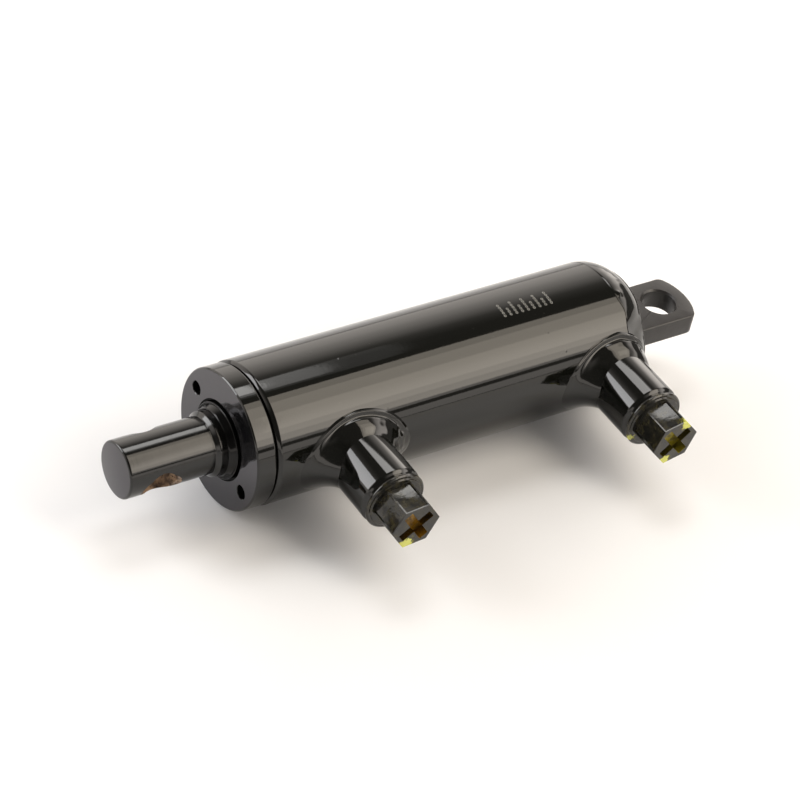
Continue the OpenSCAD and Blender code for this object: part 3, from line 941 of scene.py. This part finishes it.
def finish_inner_parts():
    """The pieces inside the barrel keep their CAD shape and get a finish each."""
    black_rubber = rubber("nitrile")
    bronze = resin("bronze_ptfe", (0.20, 0.11, 0.05))
    guide = resin("guide_resin", (0.26, 0.15, 0.06))
    finishes = {
        "gland_o_ring": black_rubber, "piston_o_ring": black_rubber,
        "piston_seal_energiser": black_rubber,
        "gland_backup_ring": resin("white_ptfe", (0.75, 0.75, 0.70)),
        "rod_seal": resin("blue_urethane", (0.03, 0.10, 0.35), 0.3),
        "rod_guide_ring": guide, "rear_wear_ring": guide, "front_wear_ring": guide,
        "piston_seal": bronze,
        "piston": metal("machined_iron", (0.30, 0.30, 0.31), 0.3, 0.5, 0.003),
        "piston_lock_nut": metal("bright_steel", (0.50, 0.50, 0.52), 0.25, 0.6, 0.002)}
    for node, material in finishes.items():
        mesh = frame["nodes"][node].data
        mesh.materials.clear()
        mesh.materials.append(material)


# ---------------------------------------------------------------------------------------------
# Camera, floor, light
# ---------------------------------------------------------------------------------------------

def make_camera():
    """A long lens above the ports' side and the rod's end, held slightly turned."""
    aim, distance = (0.14592, 0.00763, 0), 1.3749
    azimuth, elevation, roll = (math.radians(angle) for angle in (48.75, 40.17, 12.89))
    data = bpy.data.cameras.new("camera")
    data.sensor_width = 36
    data.lens = 143.7
    data.clip_start = 0.05
    data.clip_end = 50
    camera = placed("camera", data)
    turn = (Matrix.Rotation(azimuth + math.pi / 2, 4, "Z")
            @ Matrix.Rotation(math.pi / 2 - elevation, 4, "X") @ Matrix.Rotation(roll, 4, "Z"))
    camera.matrix_world = Matrix.Translation(aim) @ turn @ Matrix.Translation((0, 0, distance))
    bpy.context.scene.camera = camera


def make_floor():
    """A large plain floor that the barrel rests on."""
    gap, half = 0.0002, 8.0
    floor_z = cad_box[0].z - gap
    mesh = bpy.data.meshes.new("floor")
    corners = [(-half, -half), (half, -half), (half, half), (-half, half)]
    mesh.from_pydata([(x, y, floor_z) for x, y in corners], [], [(0, 1, 2, 3)])
    floor = placed("floor", mesh)
    material = bpy.data.materials.new("floor_paper")
    material.use_nodes = True
    shader = material.node_tree.nodes["Principled BSDF"]
    shader.inputs["Base Color"].default_value = (0.87, 0.88, 0.90, 1)
    shader.inputs["Roughness"].default_value = 0.9
    shader.inputs["Specular IOR Level"].default_value = 0.1
    mesh.materials.append(material)


def make_world():
    """A studio room with pale walls, brightest near the lug's end. It is dark overhead, where the
    photographer stands, in a band below the key light, and behind the lug's end.

    Each place in it is told by the cosines of the angles from its direction to X, Y and Z."""
    room_light = 2.0
    wall_tint = (1.0, 0.93, 0.86)
    unlit = (0.01, 0.01, 0.01, 1)
    photographer = (0.66, 0.75, 0)
    world = bpy.data.worlds.new("studio")
    bpy.context.scene.world = world
    world.use_nodes = True
    n = Tree(world.node_tree)
    way = n.add("ShaderNodeTexCoord").outputs["Generated"]
    x, y, z = n.add("ShaderNodeSeparateXYZ", {0: way}).outputs

    def faded(value, start, end, to_low, to_high):
        return n.ramp(value, start, end, to_low, to_high, "SMOOTHSTEP")

    # The sine of the elevation, and the walls' brightness there as a share of the room's light
    steps = [(-1.0, 0.70), (-0.05, 0.75), (0.05, 0.82), (0.30, 0.95), (0.50, 0.78),
             (0.62, 0.52), (0.71, 0.20), (0.80, 0.07), (1.0, 0.07)]
    walls = n.add("ShaderNodeValToRGB", {"Fac": n.ramp(z, -1, 1, 0, 1)})
    while len(walls.color_ramp.elements) < len(steps):
        walls.color_ramp.elements.new(0.5)
    for element, (sine, level) in zip(walls.color_ramp.elements, steps):
        element.position = (sine + 1) / 2
        element.color = [level * c for c in wall_tint] + [1]

    towards = n.add("ShaderNodeVectorMath", {0: way, 1: photographer}, operation="DOT_PRODUCT")
    near_end = n.math("MULTIPLY", faded(towards.outputs["Value"], 0.42, 0.72, 0, 1),
                      faded(z, 0.10, 0.22, 0, 0.93))
    below_key = n.math("MULTIPLY", faded(z, 0.135, 0.155, 0, 1), faded(z, 0.215, 0.235, 1, 0))
    below_key = n.math("MULTIPLY", below_key, faded(y, 0.3, 0.6, 0, 0.9))
    far_end = faded(x, -0.85, -0.90, 0, 0.95)
    dark = n.math("MAXIMUM", n.math("MAXIMUM", near_end, below_key), far_end)
    strength = n.math("MULTIPLY", room_light, faded(x, -0.66, -0.80, 1, 2.2))
    background = n.tree.nodes["Background"]
    n.tree.links.new(n.mix(dark, walls.outputs["Color"], unlit), background.inputs["Color"])
    n.tree.links.new(strength, background.inputs["Strength"])


def make_panel(name, centre, aim, width, height, radiance, tint, turn_deg=0):
    """A softbox: a rectangular area light at centre that faces aim. Its width lies level."""
    data = bpy.data.lights.new(name, "AREA")
    data.shape = "RECTANGLE"
    data.size = width
    data.size_y = height
    data.color = tint
    data.energy = radiance * math.pi * width * height
    panel = placed(name, data)
    way = (Vector(aim) - Vector(centre)).normalized()
    panel.location = centre
    turn = Quaternion((0, 0, 1), math.radians(turn_deg))
    panel.rotation_euler = (way.to_track_quat("-Z", "Y") @ turn).to_euler()
    panel.visible_camera = False


def make_lights():
    """A warm key light over the ports' side, a neutral one overhead but away from that side, and
    a cool panel past the rod's end. The first two are three panels each, to fade outwards."""
    warm = (1.0, 0.90, 0.76)
    neutral = (1.0, 0.98, 0.95)
    cool = (0.97, 0.98, 1.0)
    key_aim, key_width = (-0.62, 0, 0), 0.8
    key_height = 2 * 1.2 * math.tan(math.radians(35.5))
    # Size as a share of the largest, radiance, distance from the aim, elevation
    for scale, radiance, reach, up_deg in ((1.0, 2.75, 1.24, 54), (0.66, 1.05, 1.22, 54),
                                           (0.3, 1.05, 1.20, 50)):
        angle = math.radians(up_deg)
        centre = (key_aim[0], reach * math.cos(angle), reach * math.sin(angle))
        make_panel(f"key_{reach}", centre, key_aim, key_width * scale ** 0.5, key_height * scale,
                   radiance, warm)
    near_x, overhead_turn_deg = 0.19, -9.5
    # Far edge in X, both edges in Y, radiance, height in Z
    for far_x, low_y, high_y, radiance, up in ((-0.34, -0.605, -0.29, 3.9, 1.0),
                                               (-0.40, -0.62, -0.22, 1.5, 1.005),
                                               (-0.47, -0.64, -0.16, 0.35, 1.01)):
        x, y = (near_x + far_x) / 2, (low_y + high_y) / 2
        make_panel(f"overhead_{up}", (x, y, up), (x, y, 0), near_x - far_x, high_y - low_y,
                   radiance, neutral, overhead_turn_deg)
    make_panel("front", (0.72, -0.405, 0.36), (0.2, 0.08, 0.36), 0.36, 0.5, 6.0, cool)


make_barrel()
make_end_cap()
make_end_weld()
make_punch_marks()
make_lug()
make_lug_weld()
make_port("front_port", "front_port_boss", "front_port_weld", back_reach=26.0, seed=11)
make_port("rear_port", "rear_port_boss", "rear_port_weld", back_reach=17.8, seed=23)
# Each bare spot: degrees about the plug, distance from its middle, depth below its end, radius
make_plug("front_plug", "front_port_plug", "front_plug", turn_deg=54,
          slot_colour=(0.27, 0.145, 0.012), bare=[(-68, 10.5, 0.7, 3.7)])
make_plug("rear_plug", "rear_port_plug", "rear_plug", turn_deg=48,
          slot_colour=(0.24, 0.20, 0.02),
          bare=[(-68, 10.5, 0.5, 2.8), (116, 10.5, 0.5, 2.8), (-30, 13.5, 16.5, 1.6)])
make_gland()
make_wiper()
make_rod()
finish_inner_parts()
make_camera()
make_floor()
make_world()
make_lights()
bpy.context.scene.view_settings.view_transform = "Standard"
